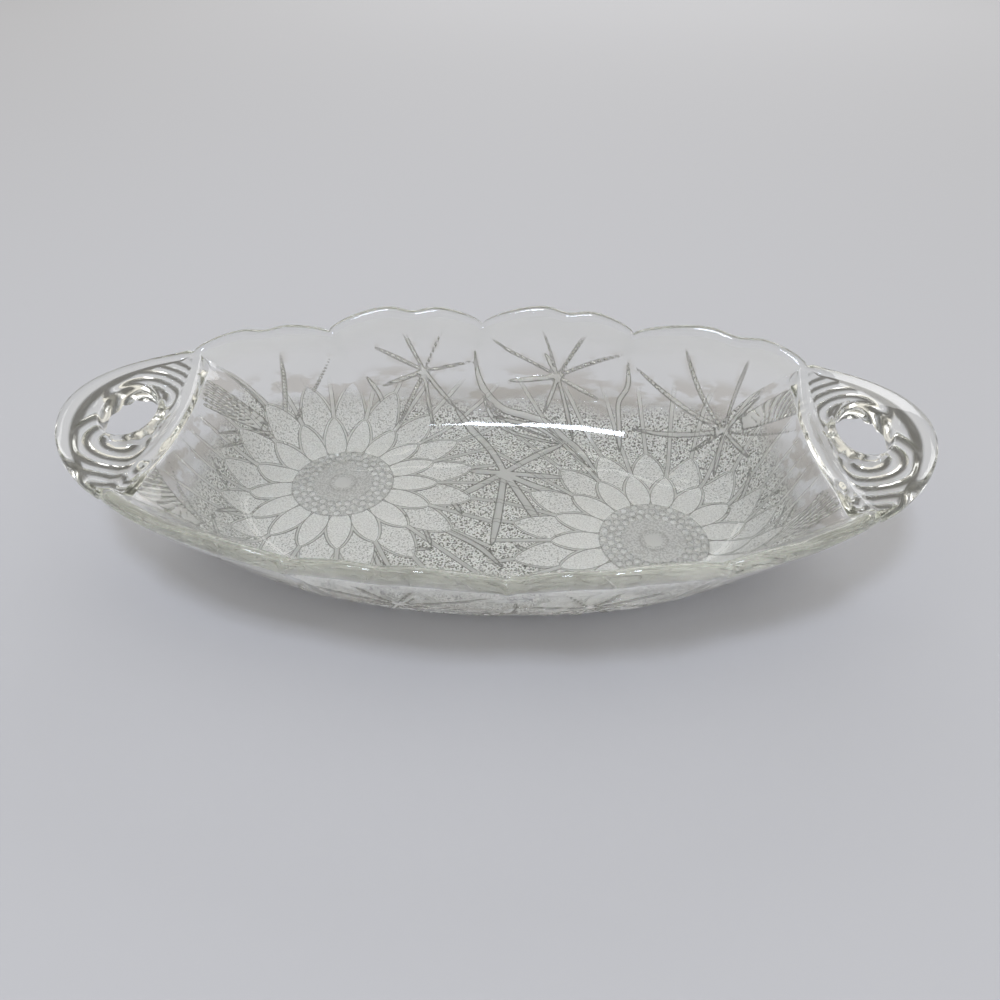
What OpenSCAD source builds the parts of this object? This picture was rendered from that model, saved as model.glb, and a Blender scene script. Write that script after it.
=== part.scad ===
// Relish tray of pressed clear glass: a boat-shaped bowl with a scalloped rim and two
// pierced tab handles. The tray is one pressing. Its nodes are the regions of that pressing
// and they meet face to face, on shared points.
// X runs along the length, Z is up, and the origin is the middle of the flat bottom.

/* [Tray] */
// Length over both handles
tray_len = 290; // [270:1:310]
// Width between opposite notches of the rim
tray_w = 148; // [138:1:158]
// Height of the handle tips above the table
tip_h = 48; // [44:0.5:52]

/* [Bowl] */
// How far the end wall leans out from the flat bottom to its top
end_lean = 19; // [17:0.5:23]
// How far the side wall leans out from the flat bottom to a notch of the rim
side_lean = 29.5; // [27:0.5:32]
// Thickness of the bottom
floor_t = 4.6; // [4:0.1:5.5]
// Thickness of the wall
wall_t = 3.8; // [3.2:0.1:4.6]
// Thickness of the rounded rim, across the leaning wall
rim_t = 5; // [4.4:0.1:5.6]
// Height of the rim at its notches, mid side
notch_h = 40.5; // [38:0.5:43]
// Rise of a full scallop above its notches
lobe_rise = 7.6; // [5:0.2:9]
// Swell of a full scallop beyond the notches
lobe_swell = 4; // [2:0.2:5.5]

/* [Handles] */
// How far a handle and its end wall reach in from the tip to the inside of the bowl
handle_len = 38; // [36:0.5:41]
// Distance across the tray from its widest notch in to the notch beside a handle
shoulder_w = 32; // [30:0.5:35]
// Width of the top of an end wall, mid way
end_lip = 5.5; // [5:0.1:6.5]
// Glass left between the end wall and the finger hole
hole_web = 4; // [3.2:0.1:4.8]
// Width of a finger hole, along the tray
hole_w = 14.5; // [13:0.5:16]
// Length of a finger hole, across the tray
hole_len = 28; // [25:0.5:31]
// Swell of a handle's outline beyond the notches
handle_swell = 3; // [2:0.2:4]
// Thickness of a handle where it leaves the end wall
handle_t = 7.4; // [6.4:0.1:8.2]
// Thickness of a handle at its edge
edge_t = 5.6; // [4.8:0.1:6.4]
// Height of the ribs under a handle
rib_h = 1.3; // [0.8:0.1:1.6]

/* [Hidden] */

// Glass, as the eye sees it
glass = [0.86, 0.9, 0.88, 0.55];

// Distance between the end walls of the bowl, inside, at the top, and between the two
// notches where one handle springs from the rim
bowl_len = tray_len - 2 * handle_len;
root_span = tray_w - 2 * shoulder_w;

// Half axes of the oval through the rim's notches and of the flat bottom
oval_x = tray_len / 2 - handle_swell;
oval_y = tray_w / 2;
flat_x = bowl_len / 2 - end_lean;
flat_y = tray_w / 2 - side_lean;

// Angle on the oval of the notch beside a handle
root_a = asin(root_span / 2 / oval_y);
side_a = 180 - 2 * root_a;

// How four scallops share a side, from the right handle to the left one, and their size
panel_shares = [0.295, 0.232, 0.239, 0.234];
lobe_shares = [0.85, 1, 1, 0.62];
panels = len(panel_shares);
// Each scallop is double: a dip parts its small lobe from its large one
dip_place_share = 0.44;
dip_reach_share = 0.11;
dip_share = 0.3;
lobe_power = 0.65;
// The swell of a scallop fades out down the wall
fade_power = 2.5;
// The oval's height grows toward the handles with this power of the cosine
boat_power = 6;
// The lower wall follows a fuller oval without corners, a superellipse of this power
full_power = 2.6;

// Columns of the surface over each scallop and each end, and rows up the wall
panel_cols = 12;
end_cols = 20;
// How far the columns of an end crowd toward its notches: 1 is even, 90 the most
crowding = 78;
wall_rows = 9;
lip_steps = 6;

// Handles of the wall's curve, as shares of its reach and height
cove_share = 0.3;
knee_x_share = 0.71;
knee_z_share = 0.55;
// How the inner curve stands off the outer one there, in wall thicknesses
stand_in_share = 0.84;
stand_up_share = 0.54;
// Depth of the rounding of an end wall's top toward the bowl, in rim thicknesses, mid way
// and beside the notches
end_round_share = 0.55;
notch_round_share = 0.3;

// Rows across a handle, steps round its edge, and the share of its width that the ribs take
top_rows = 6;
edge_steps = 4;
ribs = 4;
rib_from_share = 0.46;
rib_to_share = 0.94;
rib_steps = 5;
// A handle's top is crowned: it rises by this power toward its edge
crown_power = 1.5;

// Overrun of a cut
over = 1;

function mix(a, b, s) = a + (b - a) * s;
function clamp(s) = min(1, max(0, s));
function total(v, n) = n == 0 ? 0 : v[n - 1] + total(v, n - 1);
function unit(v) = v / norm(v);
function plan_dir(p, q) = unit([q.x - p.x, q.y - p.y]);
function turned(p) = [-p.x, -p.y, p.z];

// A point of the oval, and the way out of it
function oval(a) = [oval_x * cos(a), oval_y * sin(a)];
function oval_out(a) = let (n = [cos(a) / oval_x, sin(a) / oval_y]) n / norm(n);
function flat_edge(a) = [flat_x * cos(a), flat_y * sin(a)];

// Size of the scallop at a share u of its width
function lobe(u) = pow(max(0, sin(180 * u)), lobe_power)
    * (1 - dip_share * exp(-pow((u - dip_place_share) / dip_reach_share, 2)));

// Height of the rim before the scallops are added
function boat_h(a) = notch_h + (tip_h - notch_h) * pow(abs(cos(a)), boat_power);

// Outer edge of the rim on a side: the angle, and how large the scallop is there
function side_rim(a, w) = let (p = oval(a) + lobe_swell * w * oval_out(a)) [p.x, p.y];

// Top of the end wall: a shallow bow between the two notches
function end_share(a) = sin(a) / sin(root_a);
lip_mid = bowl_len / 2 + end_lip;
root_x = oval_x * cos(root_a);
function end_rim(a) = let (s = end_share(a)) [mix(lip_mid, root_x, s * s), root_span / 2 * s];
function end_h(a) = boat_h(root_a) - (boat_h(root_a) - notch_h) * (1 - pow(end_share(a), 2));

// Outer edge of a handle
function handle_edge(a) = let (w = sqrt(max(0, cos(90 * a / root_a))))
    oval(a) + handle_swell * w * oval_out(a);

function bezier(p0, p1, p2, p3, s) = let (r = 1 - s)
    r * r * r * p0 + 3 * r * r * s * p1 + 3 * r * s * s * p2 + s * s * s * p3;

// One section of the wall, as [reach, height] pairs from the flat bottom out over the lip and
// back in. reach is how far the lip stands out and top its height. On a side the lip is a
// half round across the leaning wall. At an end, notch is 0 mid way and 1 at the notches, and
// the lip is flat where the handle joins it and rounded toward the bowl.
function side_lip(reach, top) = let (
    r = rim_t / 2,
    up = unit([(1 - knee_x_share) * reach, (1 - knee_z_share) * (top - rim_t)]),
    across = [-up.y, up.x],
    middle = [reach - r, top - r]
) [for (i = [0:lip_steps]) middle - r * cos(180 * i / lip_steps) * across
    + r * sin(180 * i / lip_steps) * up];
function end_lip_points(reach, top, notch) = let (
    lip = mix(end_lip, rim_t, notch),
    curl = rim_t * mix(end_round_share, notch_round_share, notch),
    n = lip_steps / 2
) concat(
    [[reach, top - handle_t]],
    [for (i = [1:n]) [reach - lip / 2 * (i - 1) / (n - 1), top]],
    [for (i = [1:n]) [reach - lip / 2 - lip / 2 * sin(90 * i / n), top - curl + curl * cos(90 * i / n)]]
);
function wall_section(reach, top, notch, side) = let (
    lip = side ? side_lip(reach, top) : end_lip_points(reach, top, notch),
    first = lip[0],
    last = lip[lip_steps],
    inner = last.x + wall_t
) concat(
    [for (i = [0:wall_rows - 1]) bezier([0, 0], [cove_share * reach, 0],
        [knee_x_share * reach, knee_z_share * first.y], first, i / wall_rows)],
    lip,
    [for (i = [wall_rows - 1:-1:0]) bezier([0, floor_t], [cove_share * inner - wall_t / 3, floor_t],
        [knee_x_share * inner - stand_in_share * wall_t, knee_z_share * first.y + stand_up_share * wall_t],
        last, i / wall_rows)]
);

// A section at an angle, stood up between the flat bottom and a rim
function stand(a, rim, top, notch, side) = let (
    foot = flat_edge(a),
    d = plan_dir(foot, rim),
    reach = norm(rim - foot)
) [for (p = wall_section(reach, top, notch, side)) [foot.x + d.x * p.x, foot.y + d.y * p.x, p.y]];

// The lower wall is smooth all round. The scallops and the corners beside the handles grow
// out of it toward the rim.
function round_rim(a) = [
    sign(cos(a)) * lip_mid * pow(abs(cos(a)), 2 / full_power),
    sign(sin(a)) * oval_y * pow(abs(sin(a)), 2 / full_power)
];
function fade(plain, full) = [for (i = [0:len(plain) - 1])
    mix(plain[i], full[i], pow(clamp(plain[i].z / notch_h), fade_power))];
function grown(a, rim, top, notch, side) = fade(
    stand(a, round_rim(a), top, notch, side),
    stand(a, rim, top, notch, side)
);

function side_section(a, w) = fade(
    grown(a, side_rim(a, 0), boat_h(a), 1, true),
    grown(a, side_rim(a, w), boat_h(a) + lobe_rise * w, 1, true)
);
function end_section(a) = grown(a, end_rim(a), end_h(a), pow(end_share(a), 2), false);

// Angles of the columns over one end, closer together beside the notches
function end_angle(i) = root_a * sin(crowding * (2 * i / end_cols - 1)) / sin(crowding);
function panel_angle(p, u) = root_a + side_a * (total(panel_shares, p) + panel_shares[p] * u);

// Sections of the back wall from the right handle to the left one, and of the right end wall
back_sections = concat(
    [for (p = [0:panels - 1], k = [0:panel_cols - 1]) let (u = k / panel_cols)
        side_section(panel_angle(p, u), lobe_shares[p] * lobe(u))],
    [side_section(180 - root_a, 0)]
);
right_sections = concat(
    [[for (p = back_sections[len(back_sections) - 1]) turned(p)]],
    [for (i = [1:end_cols - 1]) end_section(end_angle(i))],
    [back_sections[0]]
);

function foot(sections) = [for (i = [0:len(sections) - 2]) [sections[i][0].x, sections[i][0].y]];
half_foot = concat(foot(right_sections), foot(back_sections));

// Two triangles over each cell between neighbouring sections of m points
function skin(n, m) = [for (i = [0:n - 2], k = [0:m - 1]) let (
    a = i * m + k,
    b = i * m + (k + 1) % m,
    c = (i + 1) * m + (k + 1) % m,
    d = (i + 1) * m + k
) each [[a, b, c], [a, c, d]]];

// Closes a stretch of wall, from its outer curve across to its inner one
function wall_cap(m) = concat(
    [for (k = [0:(m - 1) / 2 - 2]) each [[k, k + 1, m - 2 - k], [k, m - 2 - k, m - 1 - k]]],
    [let (k = (m - 1) / 2) [k - 1, k, k + 1]]
);

module well_floor() {
    color(glass) linear_extrude(floor_t) polygon(concat(half_foot, -half_foot));
}

module wall(sections) {
    n = len(sections);
    m = len(sections[0]);
    color(glass) polyhedron([for (s = sections) each s], concat(
        [for (f = wall_cap(m)) [f[2], f[1], f[0]]],
        skin(n, m),
        [for (f = wall_cap(m)) [for (k = f) (n - 1) * m + k]]
    ));
}

module back_wall() {
    wall(back_sections);
}

module front_wall() {
    rotate(180) back_wall();
}

module right_end_wall() {
    wall(right_sections);
}

module left_end_wall() {
    rotate(180) right_end_wall();
}

// Height of the handle's top at a share w of its width, and the ribs on its underside. The
// underside starts where the end wall's outer curve ends.
function handle_top(a, w) = mix(end_h(a), boat_h(a), 1 - pow(1 - w, crown_power));
function rib(w) = w <= rib_from_share || w >= rib_to_share ? 0
    : abs(sin(180 * ribs * (w - rib_from_share) / (rib_to_share - rib_from_share)));
function handle_section(a) = let (
    rim = handle_edge(a),
    p = end_rim(a),
    width = norm(rim - p),
    curl = min(edge_t / 2, width / 3),
    q = mix(rim, p, curl / width),
    d = plan_dir(p, q),
    low = end_section(a)[wall_rows],
    tall = rib_h * clamp(width / (tray_len / 2 - lip_mid)),
    n = ribs * rib_steps,
    lows = concat([0, rib_from_share / 2],
        [for (i = [0:n]) mix(rib_from_share, rib_to_share, i / n)], [1])
) concat(
    [for (w = lows) [mix(low.x, q.x, w), mix(low.y, q.y, w),
        handle_top(a, w) - mix(handle_t, edge_t, w) - tall * rib(w)]],
    [for (i = [1:edge_steps - 1]) let (s = 180 * i / edge_steps) [q.x + d.x * curl * sin(s),
        q.y + d.y * curl * sin(s), boat_h(a) - edge_t / 2 * (1 + cos(s))]],
    [for (i = [top_rows:-1:0]) let (w = i / top_rows) [mix(p.x, q.x, w), mix(p.y, q.y, w),
        handle_top(a, w)]]
);

module right_handle() {
    sections = [for (i = [1:end_cols - 1]) handle_section(end_angle(i))];
    n = len(sections);
    m = len(sections[0]);
    color(glass) difference() {
        polyhedron([for (s = sections) each s], concat(
            [[for (k = [m - 1:-1:0]) k]],
            skin(n, m),
            [[for (k = [0:m - 1]) (n - 1) * m + k]]
        ));
        translate([lip_mid + hole_web + hole_w / 2, 0, 0])
            linear_extrude(tip_h + over)
                scale([hole_w / hole_len, 1]) circle(d = hole_len, $fn = 48);
    }
}

module left_handle() {
    rotate(180) right_handle();
}

well_floor();
back_wall();
front_wall();
left_end_wall();
right_end_wall();
left_handle();
right_handle();
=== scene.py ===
import math

import bmesh
import bpy
import numpy as np
from mathutils import Matrix, Vector


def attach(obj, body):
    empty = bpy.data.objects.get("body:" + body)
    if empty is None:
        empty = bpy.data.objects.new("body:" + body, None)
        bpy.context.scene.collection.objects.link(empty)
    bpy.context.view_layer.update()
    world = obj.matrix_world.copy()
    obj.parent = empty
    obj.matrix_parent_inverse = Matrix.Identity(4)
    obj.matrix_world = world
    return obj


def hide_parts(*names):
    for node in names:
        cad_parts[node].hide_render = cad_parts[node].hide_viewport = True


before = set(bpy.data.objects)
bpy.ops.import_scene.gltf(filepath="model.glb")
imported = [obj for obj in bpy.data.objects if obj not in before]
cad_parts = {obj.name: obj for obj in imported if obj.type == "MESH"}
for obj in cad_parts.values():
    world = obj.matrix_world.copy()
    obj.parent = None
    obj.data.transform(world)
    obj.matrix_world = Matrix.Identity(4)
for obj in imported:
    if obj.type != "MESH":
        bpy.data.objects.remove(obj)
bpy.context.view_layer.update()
mm = 0.001

# Sizes of the tray, in millimetres
tray = {
    "length": 290,
    "width": 148,
    "tipHeight": 48,
    "endLean": 19,
    "sideLean": 29.5,
    "bottomThick": 4.6,
    "wallThick": 3.8,
    "rimThick": 5,
    "notchHeight": 40.5,
    "lobeRise": 7.6,
    "lobeSwell": 3.97,
    "handleLength": 38,
    "shoulder": 32,
    "endLip": 5.5,
    "holeWeb": 4,
    "holeWidth": 14.5,
    "holeLength": 28,
    "holeRound": 1.6,
    "handleSwell": 3,
    "handleThick": 7.4,
    "edgeThick": 5.6,
    "handleCrown": 1.5,
    "ribHeight": 1.3,
    "ribGap": 4.4,
    "handleStart": 0.14,
    "lipShare": 0.8,
    "lipCurl": (0.55, 0.3),
}

# Where the middle points of the wall's curves lie, as shares of its reach, height and thickness
wallCurve = {
    "foot": 0.3,
    "upperX": 0.71,
    "upperZ": 0.55,
    "leanX": 0.29,
    "leanZ": 0.45,
    "innerX": 0.84,
    "innerZ": 0.54,
}

# How finely the glass is meshed
mesh = {
    "panelColumns": 52,
    "endColumns": 80,
    "outerRows": 56,
    "innerRows": 14,
    "lipSteps": 8,
    "nearRows": 20,
    "farTopRows": 12,
    "farUnderRows": 34,
    "edgeSteps": 8,
    "holeSpan": 0.35,
    "bottomAlong": 250,
    "bottomAcross": 136,
    "bottomShare": 0.985,
    "insideRing": [0.97, 0.94, 1],
    "settleRounds": 8,
}

# How four scallops share a side, and how large each is. Each has a small lobe and a large one.
scallops = {
    "widths": [0.295, 0.232, 0.239, 0.234],
    "sizes": [0.85, 1, 1, 0.62],
    "dipPlace": 0.44,
    "dipReach": 0.11,
    "dip": 0.3,
    "power": 0.65,
    "fadePower": 2.5,
    "boatPower": 6,
    "fullPower": 2.6,
}

ovalX = tray["length"] / 2 - tray["handleSwell"]
ovalY = tray["width"] / 2
bowlLength = tray["length"] - 2 * tray["handleLength"]
rootSpan = tray["width"] - 2 * tray["shoulder"]
flatX = bowlLength / 2 - tray["endLean"]
flatY = tray["width"] / 2 - tray["sideLean"]
rootAngle = math.asin(rootSpan / 2 / ovalY)
sideAngle = math.pi - 2 * rootAngle
lipMid = bowlLength / 2 + tray["endLip"]
rootX = ovalX * math.cos(rootAngle)
lipHeight = tray["lipShare"] * tray["rimThick"]


def mix(a, b, share):
    return a + (b - a) * share


def smooth(a, b, value):
    t = np.clip((value - a) / (b - a), 0, 1)
    return t * t * (3 - 2 * t)


def flat(x, y):
    return np.stack([x, y], axis=-1)


def unit(v):
    return v / np.linalg.norm(v, axis=-1, keepdims=True)


def oval(a):
    return flat(ovalX * np.cos(a), ovalY * np.sin(a))


def ovalOut(a):
    return unit(flat(np.cos(a) / ovalX, np.sin(a) / ovalY))


def flatEdge(a):
    return flat(flatX * np.cos(a), flatY * np.sin(a))


def lobe(u):
    dip = 1 - scallops["dip"] * np.exp(-(((u - scallops["dipPlace"]) / scallops["dipReach"]) ** 2))
    return np.maximum(0, np.sin(math.pi * u)) ** scallops["power"] * dip


def boatHeight(a):
    rise = tray["tipHeight"] - tray["notchHeight"]
    return tray["notchHeight"] + rise * np.abs(np.cos(a)) ** scallops["boatPower"]


def endRim(s):
    return flat(mix(lipMid, rootX, s * s), rootSpan / 2 * s)


def endHeight(s):
    corner = boatHeight(rootAngle)
    return corner - (corner - tray["notchHeight"]) * (1 - s * s)


def roundRim(a):
    power = 2 / scallops["fullPower"]
    x = np.sign(np.cos(a)) * lipMid * np.abs(np.cos(a)) ** power
    y = np.sign(np.sin(a)) * ovalY * np.abs(np.sin(a)) ** power
    return flat(x, y)


def bezier(p0, p1, p2, p3, t):
    r = 1 - t
    return r**3 * p0 + 3 * r * r * t * p1 + 3 * r * t * t * p2 + t**3 * p3


def unitUp(reach, top):
    rise = top - tray["rimThick"]
    return unit(flat(wallCurve["leanX"] * reach, wallCurve["leanZ"] * rise))


# The lip of a side is a half round across the leaning wall
def sideLip(reach, top, notch):
    r = tray["rimThick"] / 2
    up = unitUp(reach, top)[:, None]
    across = flat(-up[..., 1], up[..., 0])
    turn = np.linspace(0, math.pi, mesh["lipSteps"] + 1)[:, None]
    return flat(reach - r, top - r)[:, None] - r * np.cos(turn) * across + r * np.sin(turn) * up


# The lip of an end is flat where the handle joins it, and rounded toward the bowl
def endLip(reach, top, notch):
    first = flat(reach, top - mix(tray["handleThick"], lipHeight, notch[1]))
    lip = mix(tray["endLip"], tray["rimThick"], notch[0])
    curl = tray["rimThick"] * mix(*tray["lipCurl"], notch[0])
    turn = np.linspace(0, math.pi / 2, mesh["lipSteps"] // 2 + 1)[:, None]
    x = reach - lip / 2 - lip / 2 * np.sin(turn)
    z = top - curl + curl * np.cos(turn)
    return np.concatenate([first[:, None], flat(x.T, z.T)], axis=1)


# One section of the wall for each column, as reach and height: the outer curve from the flat
# bottom up, the lip, and the inner curve back down
def wallSection(reach, top, notch, lipShape):
    wall = tray["wallThick"]
    thick = tray["bottomThick"]
    foot, upperX, upperZ = wallCurve["foot"], wallCurve["upperX"], wallCurve["upperZ"]
    lip = lipShape(reach, top, notch)
    reach = reach[:, None]
    firstX, firstZ = lip[:, :1, 0], lip[:, :1, 1]
    lastX, lastZ = lip[:, -1:, 0], lip[:, -1:, 1]
    inner = lastX + wall
    t = np.linspace(0, 1, mesh["outerRows"] + 1)[None, :-1]
    outerX = bezier(0, foot * reach, upperX * reach, firstX, t)
    outerZ = bezier(0, 0, upperZ * firstZ, firstZ, t)
    t = np.linspace(1, 0, mesh["innerRows"] + 1)[None, 1:]
    nearX = foot * inner - wall / 3
    farX = upperX * inner - wallCurve["innerX"] * wall
    farZ = upperZ * firstZ + wallCurve["innerZ"] * wall
    innerX = bezier(0, nearX, farX, lastX, t)
    innerZ = bezier(thick, thick, farZ, lastZ, t)
    return np.concatenate([flat(outerX, outerZ), lip, flat(innerX, innerZ)], axis=1)


def standUp(a, rim, top, notch, lipShape):
    foot = flatEdge(a)
    section = wallSection(np.linalg.norm(rim - foot, axis=-1), top, notch, lipShape)
    plan = foot[:, None] + unit(rim - foot)[:, None] * section[..., :1]
    return np.concatenate([plan, section[..., 1:]], axis=-1)


# The lower wall is smooth all round. Scallops and corners grow out of it toward the rim.
def fade(plain, full):
    share = np.clip(plain[..., 2:] / tray["notchHeight"], 0, 1) ** scallops["fadePower"]
    return mix(plain, full, share)


def grown(a, rim, *section):
    return fade(standUp(a, roundRim(a), *section), standUp(a, rim, *section))


def sideColumns():
    a, w = [], []
    start = 0
    for width, size in zip(scallops["widths"], scallops["sizes"]):
        u = np.arange(mesh["panelColumns"]) / mesh["panelColumns"]
        a.append(rootAngle + sideAngle * (start + width * u))
        w.append(size * lobe(u))
        start += width
    a = np.append(np.concatenate(a), math.pi - rootAngle)
    w = np.append(np.concatenate(w), 0)
    flatTop = boatHeight(a)
    top = flatTop + tray["lobeRise"] * w
    rim = oval(a) + tray["lobeSwell"] * w[:, None] * ovalOut(a)
    plain = grown(a, oval(a), flatTop, None, sideLip)
    full = grown(a, rim, top, None, sideLip)
    return a, fade(plain, full)


# A handle's columns run from one notch to the other; s is -1 and 1 there
def handleEdge(a):
    swell = tray["handleSwell"] * np.sqrt(np.clip(np.cos(math.pi / 2 * a / rootAngle), 0, 1))
    return oval(a) + swell[..., None] * ovalOut(a)


def handleSizes(s):
    a = np.arcsin(np.clip(s, -1, 1) * math.sin(rootAngle))
    # how far a handle's thickness has grown from the rim's
    full = smooth(0, tray["handleStart"], 1 - np.abs(s))
    p = endRim(s)
    rim = handleEdge(a)
    width = np.linalg.norm(rim - p, axis=-1)
    edge = mix(lipHeight, tray["edgeThick"], full)
    curl = np.minimum(edge / 2, width / 3)
    q = mix(rim, p, (curl / np.maximum(width, 1e-6))[..., None])
    return {
        "a": a,
        "full": full,
        "p": p,
        "q": q,
        "curl": curl,
        "edge": edge,
        "thick": mix(lipHeight, tray["handleThick"], full),
        "ribs": tray["ribHeight"] * np.clip(width / (tray["length"] / 2 - lipMid), 0, 1),
        "inHeight": endHeight(s),
        "outHeight": boatHeight(a),
    }


# Where the ribs rise and end, as shares of the way from the bowl's rim to the handle's edge, and
# the band of painted shade beside the edge
ribs = {
    "start": (0.03, 0.12),
    "stop": (0.86, 0.96),
    "edgeShadeBand": 0.9,
    "edgeShadeBandWide": 0.05,
}


# Ribs ring the two ends of the finger hole, and run together round the outside
def ribShape(plan, w):
    gap = tray["ribGap"]
    middle = lipMid + tray["holeWeb"] + tray["holeWidth"] / 2
    holeEnd = tray["holeLength"] / 2
    away = [np.hypot(plan[..., 0] - middle, plan[..., 1] + way * holeEnd) for way in (-1, 1)]
    away = -gap * np.log(np.exp(-away[0] / gap) + np.exp(-away[1] / gap))
    inside = smooth(*ribs["start"], w) * (1 - smooth(*ribs["stop"], w))
    shape = inside * np.abs(np.sin(math.pi * away / gap))
    return shape, inside - shape


def handlePlan(s, w):
    h = handleSizes(s)
    return mix(h["p"], h["q"], np.asarray(w)[..., None])


# Height of a handle's top and underside at a place in plan, on the right handle, and where its
# painted shade falls
def handleHeights(plan):
    x, y = plan[..., 0], plan[..., 1]
    s = y / (rootSpan / 2)
    for _ in range(mesh["settleRounds"]):
        h = handleSizes(s)
        w = np.clip((x - h["p"][..., 0]) / (h["q"][..., 0] - h["p"][..., 0]), 0, 1)
        s = s + (y - mix(h["p"][..., 1], h["q"][..., 1], w)) / (rootSpan / 2)
        s = np.clip(s, -0.999, 0.999)
    h = handleSizes(s)
    top = mix(h["inHeight"], h["outHeight"], 1 - (1 - w) ** tray["handleCrown"])
    shape, handleShade = ribShape(plan, w)
    # a band of painted shade beside the handle's edge, joined to the painted shade of the rib
    # valleys
    edgeShadeBand = np.exp(-(((w - ribs["edgeShadeBand"]) / ribs["edgeShadeBandWide"]) ** 2))
    handleShade = np.maximum(handleShade, edgeShadeBand)
    return top, top - mix(h["thick"], h["edge"], w) - h["ribs"] * shape, handleShade * h["full"]


def raised(plan, z):
    return np.concatenate([plan, np.asarray(z)[..., None]], axis=-1)


class Shell:
    # gathers the points and faces of the glass
    def __init__(self):
        self.points = []
        self.facts = []
        self.faces = []
        self.count = 0

    def add(self, points, plan=None, left=None, handleShade=None):
        points = np.asarray(points, float)
        shape = points.shape[:-1]
        points = points.reshape(-1, 3)
        plan = points[:, :2] if plan is None else np.asarray(plan, float).reshape(-1, 2)
        left = np.zeros(len(points)) if left is None else np.asarray(left, float).reshape(-1)
        handleShade = np.zeros(len(points)) if handleShade is None else np.asarray(handleShade, float).reshape(-1)
        self.points.append(points)
        self.facts.append(np.column_stack([plan, left, handleShade]))
        ids = self.count + np.arange(len(points)).reshape(shape)
        self.count += len(points)
        return ids

    def skin(self, ids):
        a, b = ids[:-1, :-1].ravel(), ids[:-1, 1:].ravel()
        c, d = ids[1:, 1:].ravel(), ids[1:, :-1].ravel()
        self.faces.extend(np.stack([a, b, c, d], axis=1).tolist())

    def place(self, ids):
        return np.concatenate(self.points)[ids]

    # joins two chains of points that have different counts
    def zipUp(self, first, second):
        places = np.concatenate(self.points)
        runs = []
        for chain in (first, second):
            steps = np.linalg.norm(np.diff(places[chain], axis=0), axis=1)
            runs.append(np.append(0, np.cumsum(steps)) / steps.sum())
        i = j = 0
        while i < len(first) - 1 or j < len(second) - 1:
            onFirst = j == len(second) - 1
            if not onFirst and i < len(first) - 1:
                onFirst = runs[0][i + 1] <= runs[1][j + 1]
            if onFirst:
                self.faces.append([first[i], first[i + 1], second[j]])
                i += 1
            else:
                self.faces.append([first[i], second[j + 1], second[j]])
                j += 1


def turned(points, half):
    return points * [-1, -1, 1] if half else points


def outerFacts(a, section):
    # development of the outer wall: out from the flat edge by the length of the curve
    rows = mesh["outerRows"] + 1
    outer = section[:, :rows]
    steps = np.linalg.norm(np.diff(outer, axis=1), axis=-1)
    run = np.concatenate([np.zeros((len(outer), 1)), np.cumsum(steps, axis=1)], axis=1)
    way = unit(roundRim(a) - flatEdge(a))
    plan = flatEdge(a)[:, None] + way[:, None] * run[..., None]
    left = run[:, -1:] - run
    return plan, left


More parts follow.
